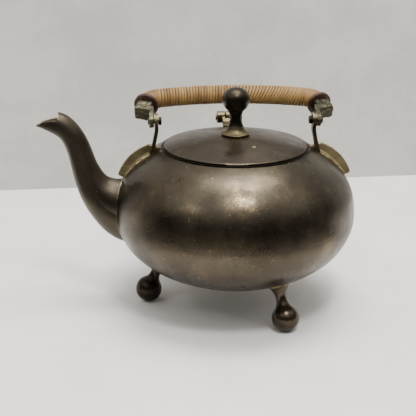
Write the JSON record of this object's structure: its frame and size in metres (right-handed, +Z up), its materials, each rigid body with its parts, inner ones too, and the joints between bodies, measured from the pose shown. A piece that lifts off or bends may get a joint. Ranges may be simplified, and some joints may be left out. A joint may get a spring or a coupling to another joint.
{
  "type": "teapot",
  "caption": "Squat round metal pot with a swan spout, domed hinged lid with ball finial, wound bail handle on two pins and three ball feet.",
  "frame": {"origin": "on the surface it stands on, under the middle of its box", "axes": "+Z up, spout towards -X, lid hinge at +Y"},
  "size_m": [0.2094, 0.16, 0.1492],
  "materials": {
    "body_brass": "aged satin brass, dark olive-brown",
    "trim_brass": "worn brass, lighter than the body",
    "knob_brass": "nearly black aged brass, satin",
    "cast_brass": "rough greenish-grey cast brass",
    "cane": "tan split cane with darker edges",
    "binding": "dark red-brown bound collar"
  },
  "bodies": {
    "pot": {"body_bowl": "body_brass", "body_crown": "body_brass", "mouth_ring": "body_brass", "hinge_bracket": "trim_brass", "spout": "body_brass", "ear_left": "trim_brass", "ear_right": "trim_brass", "post_left": "trim_brass", "post_right": "trim_brass", "foot_spout": "knob_brass", "foot_front": "knob_brass", "foot_rear": "knob_brass"},
    "lid": {"lid_plate": "body_brass", "lid_collar": "body_brass", "finial_foot": "trim_brass", "finial_knob": "knob_brass", "finial_stud": "trim_brass", "finial_nut": "trim_brass", "hinge_strap": "trim_brass", "hinge_pin": "trim_brass"},
    "handle": {"handle_core": "cast_brass", "cane_wrap": "cane", "handle_end_left": "cast_brass", "handle_end_right": "cast_brass", "handle_pin_left": "cast_brass", "handle_pin_right": "cast_brass", "end_ring_left": "binding", "end_ring_right": "binding"}
  },
  "joints": [
    {"name": "lid_hinge", "type": "hinge", "parent": "pot", "child": "lid", "pos_m": [0.02475, 0.0535, 0.11681], "axis": [-1, 0, 0], "range_deg": [0, 30]},
    {"name": "handle_swing", "type": "hinge", "parent": "pot", "child": "handle", "pos_m": [0.02475, 0, 0.12721], "axis": [1, 0, 0], "range_deg": [0, 144]}
  ]
}
